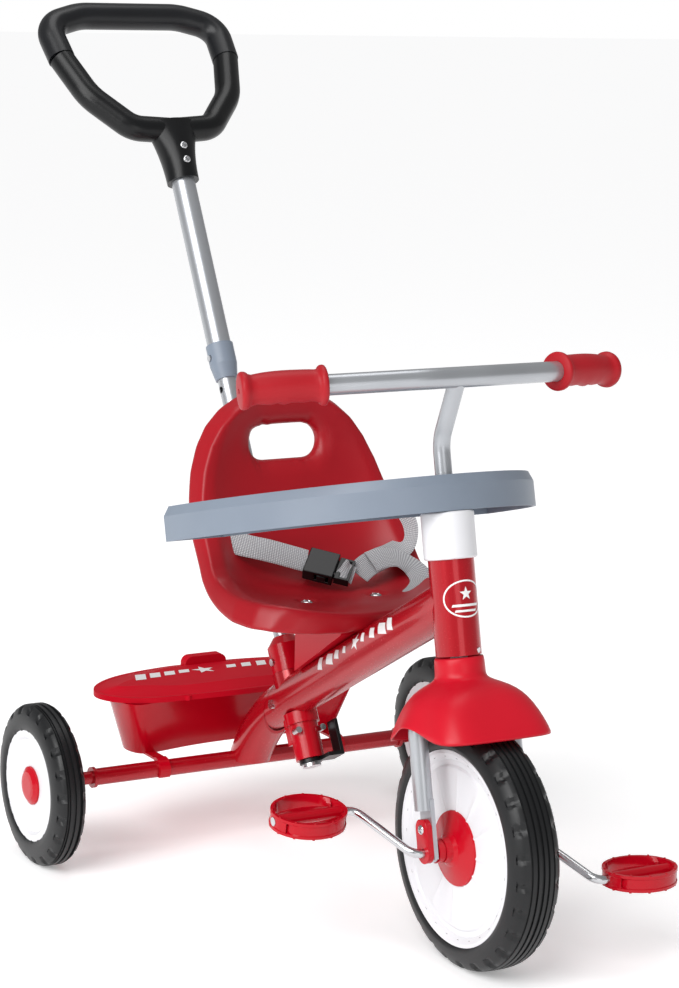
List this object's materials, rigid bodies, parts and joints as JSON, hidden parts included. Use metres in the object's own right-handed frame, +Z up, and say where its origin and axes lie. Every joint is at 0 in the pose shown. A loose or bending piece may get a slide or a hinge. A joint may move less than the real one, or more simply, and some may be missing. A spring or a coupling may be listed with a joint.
{
  "type": "children's tricycle",
  "caption": "Children's pedal tricycle with a steering push handle, wrap-round tray, bucket seat with lap belt, covered storage bin and moulded wheels.",
  "frame": {"origin": "on the ground, under the middle of the rear axle", "axes": "+Z up, -Y the way the tricycle rides, +X the rider's left hand"},
  "size_m": [0.4994, 0.8736, 0.8431],
  "materials": {
    "red_enamel": "gloss",
    "red_plastic": "satin",
    "red_grip": "satin",
    "silver_paint": "satin",
    "bright_steel": "polished",
    "white_plastic": "gloss",
    "black_rubber": "satin",
    "black_plastic": "matte",
    "black_foam": "matte",
    "grey_plastic": "satin",
    "grey_webbing": "woven"
  },
  "bodies": {
    "frame": {"rear_axle_beam": "red_enamel", "rear_axle_rod": "bright_steel", "axle_nuts": "bright_steel", "rear_frame": "red_enamel", "main_tube": "red_enamel", "head_tube": "red_enamel", "headset_cap": "white_plastic", "headset_bush": "white_plastic", "headset_rivet": "bright_steel", "steering_housing": "red_plastic", "housing_screws": "bright_steel", "frame_joint_bolts": "bright_steel", "storage_bin": "red_plastic", "hinge_pin": "bright_steel", "tray": "grey_plastic"},
    "fork": {"fork": "silver_paint", "stem": "silver_paint", "handlebar": "silver_paint", "grip_left": "red_grip", "grip_right": "red_grip", "fender": "red_plastic", "dropout_brackets": "red_plastic", "dropout_screws": "bright_steel"},
    "front_wheel": {"front_tyre": "black_rubber", "front_rim_left_half": "white_plastic", "front_rim_right_half": "white_plastic", "front_hub_left": "red_plastic", "front_hub_right": "red_plastic", "crank_axle": "bright_steel"},
    "left_pedal": {"pedal_left": "red_plastic"},
    "right_pedal": {"pedal_right": "red_plastic"},
    "left_rear_wheel": {"rear_tyre_left": "black_rubber", "rear_rim_left": "white_plastic", "rear_cap_left": "red_plastic"},
    "right_rear_wheel": {"rear_tyre_right": "black_rubber", "rear_rim_right": "white_plastic", "rear_cap_right": "red_plastic"},
    "column": {"column_socket": "red_plastic", "column_shaft": "bright_steel", "column_lever": "black_plastic", "push_tube_lower": "silver_paint"},
    "push_handle": {"push_tube_upper": "silver_paint", "push_collar": "grey_plastic", "handle_yoke": "black_plastic", "handle_grip": "black_foam", "yoke_screws": "bright_steel"},
    "link": {"steering_link": "bright_steel"},
    "socket_snap": {"socket_button": "bright_steel"},
    "collar_snap": {"collar_button": "bright_steel"},
    "seat": {"seat_shell": "red_plastic", "seat_screws": "bright_steel", "seat_bracket": "red_plastic", "strap_left": "grey_webbing", "strap_right": "grey_webbing", "buckle_socket": "black_plastic", "buckle_plug": "black_plastic"},
    "seat_clamp": {"seat_knob": "black_plastic"},
    "front_prong": {"buckle_prong_front": "black_plastic"},
    "rear_prong": {"buckle_prong_rear": "black_plastic"},
    "lid": {"bin_lid": "red_plastic"}
  },
  "joints": [
    {"name": "steer", "type": "hinge", "parent": "frame", "child": "fork", "pos_m": [0, -0.435, 0.1125], "axis": [0, 0.2164, 0.9763], "range_deg": [-35, 35]},
    {"name": "front_wheel_spin", "type": "hinge", "parent": "fork", "child": "front_wheel", "pos_m": [0, -0.435, 0.1125], "axis": [1, 0, 0], "continuous": true},
    {"name": "left_pedal_spin", "type": "hinge", "parent": "front_wheel", "child": "left_pedal", "pos_m": [0.135, -0.50222, 0.0867], "axis": [1, 0, 0], "continuous": true},
    {"name": "right_pedal_spin", "type": "hinge", "parent": "front_wheel", "child": "right_pedal", "pos_m": [-0.135, -0.36778, 0.1383], "axis": [1, 0, 0], "continuous": true},
    {"name": "left_rear_wheel_spin", "type": "hinge", "parent": "frame", "child": "left_rear_wheel", "pos_m": [0.233, 0, 0.081], "axis": [1, 0, 0], "continuous": true},
    {"name": "right_rear_wheel_spin", "type": "hinge", "parent": "frame", "child": "right_rear_wheel", "pos_m": [-0.233, 0, 0.081], "axis": [1, 0, 0], "continuous": true},
    {"name": "push_turn", "type": "hinge", "parent": "frame", "child": "column", "pos_m": [0, -0.0976, 0.1704], "axis": [0, 0.4818, 0.8763], "range_deg": [-35, 35]},
    {"name": "push_height", "type": "slide", "parent": "column", "child": "push_handle", "axis": [0, 0.4818, 0.8763], "range_m": [-0.07, 0]},
    {"name": "link_travel", "type": "slide", "parent": "frame", "child": "link", "axis": [0, -0.8763, 0.4818], "range_m": [-0.0085, 0.0085]},
    {"name": "socket_button_press", "type": "slide", "parent": "column", "child": "socket_snap", "axis": [1, 0, 0], "range_m": [0, 0.003], "stiffness_N_per_m": 400},
    {"name": "collar_button_press", "type": "slide", "parent": "push_handle", "child": "collar_snap", "axis": [1, 0, 0], "range_m": [0, 0.003], "stiffness_N_per_m": 400},
    {"name": "seat_slide", "type": "slide", "parent": "frame", "child": "seat", "axis": [0, -0.8763, 0.4818], "range_m": [0, 0.03]},
    {"name": "seat_knob_turn", "type": "hinge", "parent": "seat", "child": "seat_clamp", "pos_m": [0, -0.15032, 0.23019], "axis": [1, 0, 0], "range_deg": [-180, 180]},
    {"name": "front_prong_press", "type": "slide", "parent": "seat", "child": "front_prong", "axis": [-0.616, -0.6037, -0.506], "range_m": [0, 0.001], "stiffness_N_per_m": 300},
    {"name": "rear_prong_press", "type": "slide", "parent": "seat", "child": "rear_prong", "axis": [0.616, 0.6037, 0.506], "range_m": [0, 0.001], "stiffness_N_per_m": 300},
    {"name": "lid_hinge", "type": "hinge", "parent": "frame", "child": "lid", "pos_m": [0, 0.1245, 0.146], "axis": [-1, 0, 0], "range_deg": [0, 100]}
  ],
  "couplings": [
    {"joint": "push_turn", "follows": "steer", "ratio": 1},
    {"joint": "link_travel", "follows": "steer", "m_per_rad": 0.013}
  ]
}
